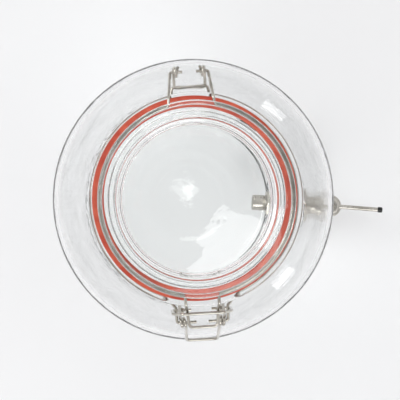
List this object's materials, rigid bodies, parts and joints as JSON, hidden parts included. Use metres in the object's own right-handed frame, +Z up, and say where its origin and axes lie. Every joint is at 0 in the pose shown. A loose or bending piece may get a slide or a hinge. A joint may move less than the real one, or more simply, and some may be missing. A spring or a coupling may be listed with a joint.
{
  "type": "clip-top glass drinks jar with tap",
  "caption": "Large round glass jar with a wire-bailed glass lid, red gasket and a lever tap near its base, for storing and pouring drinks.",
  "frame": {"origin": "on the jar's axis, at the level of the surface it stands on, 2 mm under the middle panel of its base", "axes": "+Z up along the jar's axis, -Y towards the clasp, +Y towards the lid hinge, +X to within 6 degrees along the tap"},
  "size_m": [0.2805, 0.226, 0.29],
  "materials": {
    "clear_glass": "polished pressed glass",
    "bail_wire": "bright drawn steel wire",
    "tap_steel": "satin turned steel",
    "gasket_rubber": "matt moulded rubber",
    "seal_silicone": "satin moulded silicone",
    "tip_plastic": "dipped black plastic"
  },
  "bodies": {
    "jar": {"glass_jar": "clear_glass", "neck_wire": "bail_wire", "tap_body": "tap_steel", "tap_outer_seal": "seal_silicone", "tap_inner_seal": "seal_silicone", "tap_inner_washer": "tap_steel", "tap_lock_nut": "tap_steel", "tap_bonnet": "tap_steel"},
    "lid": {"glass_lid": "clear_glass", "lid_gasket": "gasket_rubber", "lid_wire": "bail_wire"},
    "lever": {"clasp_lever": "bail_wire"},
    "link": {"clasp_link": "bail_wire"},
    "tap_handle": {"valve_plug": "tap_steel", "plug_seal_lower": "seal_silicone", "plug_seal_upper": "seal_silicone", "tap_knob": "tap_steel", "knob_screw": "tap_steel", "lever_rod": "tap_steel", "lever_tip": "tip_plastic"}
  },
  "joints": [
    {"name": "lid_hinge", "type": "hinge", "parent": "jar", "child": "lid", "pos_m": [0, 0.0975, 0.266], "axis": [-1, 0, 0], "range_deg": [0, 200]},
    {"name": "clasp_lever_pivot", "type": "hinge", "parent": "jar", "child": "lever", "pos_m": [0, -0.094, 0.257], "axis": [-1, 0, 0], "range_deg": [0, 130]},
    {"name": "clasp_link_pivot", "type": "hinge", "parent": "lever", "child": "link", "pos_m": [0, -0.0855, 0.239], "axis": [-1, 0, 0], "range_deg": [-260, 0]},
    {"name": "tap_turn", "type": "hinge", "parent": "jar", "child": "tap_handle", "pos_m": [0.12269, -0.01246, 0.038], "axis": [0, 0, 1], "range_deg": [0, 90]}
  ],
  "couplings": [
    {"joint": "clasp_link_pivot", "follows": "clasp_lever_pivot", "ratio": -2}
  ]
}
